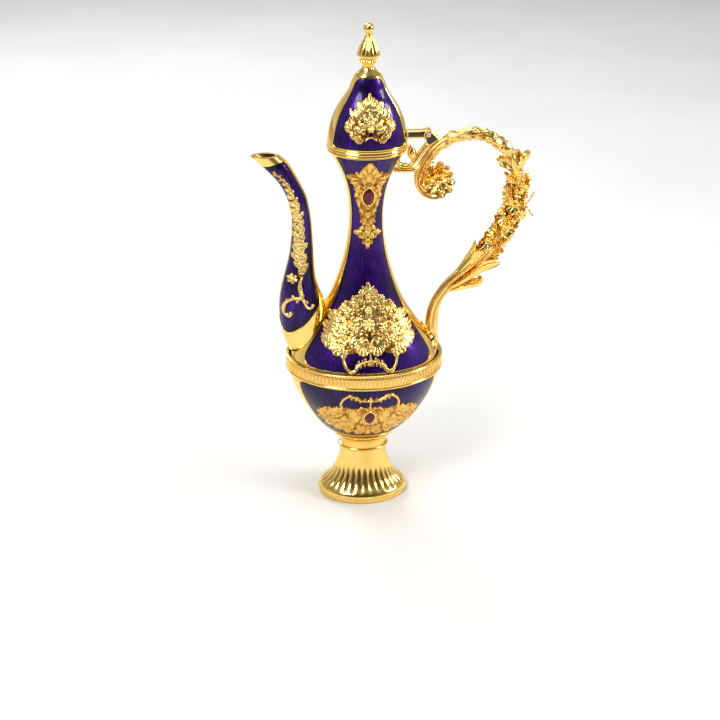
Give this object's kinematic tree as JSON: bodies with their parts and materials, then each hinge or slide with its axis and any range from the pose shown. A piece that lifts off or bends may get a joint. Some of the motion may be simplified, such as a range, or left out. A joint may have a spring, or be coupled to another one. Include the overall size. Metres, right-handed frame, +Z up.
{
  "type": "coffee pot",
  "caption": "Oval enamelled coffee pot on a pedestal foot, with a hinged lid and finial, a swan-neck spout and a scrolled handle with flowers.",
  "frame": {"origin": "centre of the foot's underside, on the surface the pot stands on", "axes": "+Z up, -X towards the spout, +X towards the handle, -Y the front enamel panels"},
  "size_m": [0.1816, 0.0806, 0.3211],
  "materials": {
    "polished_gilt": "bright polished gold plate",
    "pale_gilt_relief": "satin gold plate on cast filigree relief",
    "violet_enamel": "glossy translucent violet enamel over streaked foil",
    "red_stone": "polished dark red glass stone",
    "steel": "plated steel"
  },
  "bodies": {
    "pot": {"base_plate": "polished_gilt", "foot": "polished_gilt", "foot_collar": "polished_gilt", "foot_stud": "steel", "foot_bridge": "steel", "foot_nut": "steel", "lower_bowl": "polished_gilt", "lower_enamel_front": "violet_enamel", "lower_enamel_back": "violet_enamel", "lower_side_bands": "polished_gilt", "belt_band": "polished_gilt", "upper_body": "polished_gilt", "body_enamel_front": "violet_enamel", "body_enamel_back": "violet_enamel", "side_band_spout": "polished_gilt", "side_band_handle": "polished_gilt", "neck_rim": "polished_gilt", "shoulder_relief_front": "pale_gilt_relief", "shoulder_relief_back": "pale_gilt_relief", "neck_relief_front": "pale_gilt_relief", "neck_relief_back": "pale_gilt_relief", "bowl_relief_front": "pale_gilt_relief", "bowl_relief_back": "pale_gilt_relief", "gem_bezels": "polished_gilt", "gems": "red_stone", "spout": "polished_gilt", "spout_enamel_front": "violet_enamel", "spout_enamel_back": "violet_enamel", "spout_edges": "polished_gilt", "spout_lip": "polished_gilt", "spout_vine_front": "pale_gilt_relief", "spout_vine_back": "pale_gilt_relief", "handle": "polished_gilt", "handle_leaves": "polished_gilt", "handle_flowers": "polished_gilt", "handle_rosettes": "polished_gilt", "flower_stamens": "polished_gilt", "neck_strap": "polished_gilt", "strap_bead": "polished_gilt", "hinge_ears": "polished_gilt", "hinge_pin": "steel"},
    "lid": {"lid_shell": "polished_gilt", "lid_enamel_front": "violet_enamel", "lid_enamel_back": "violet_enamel", "lid_side_bands": "polished_gilt", "lid_rim": "polished_gilt", "lid_collar": "polished_gilt", "lid_relief_front": "pale_gilt_relief", "lid_relief_back": "pale_gilt_relief", "lid_cap": "polished_gilt", "lid_arm": "polished_gilt", "finial": "polished_gilt", "finial_stud": "steel", "finial_nut": "steel"}
  },
  "joints": [
    {"name": "lid_hinge", "type": "hinge", "parent": "pot", "child": "lid", "pos_m": [0.0375, 0, 0.252], "axis": [0, 1, 0], "range_deg": [0, 100]}
  ]
}
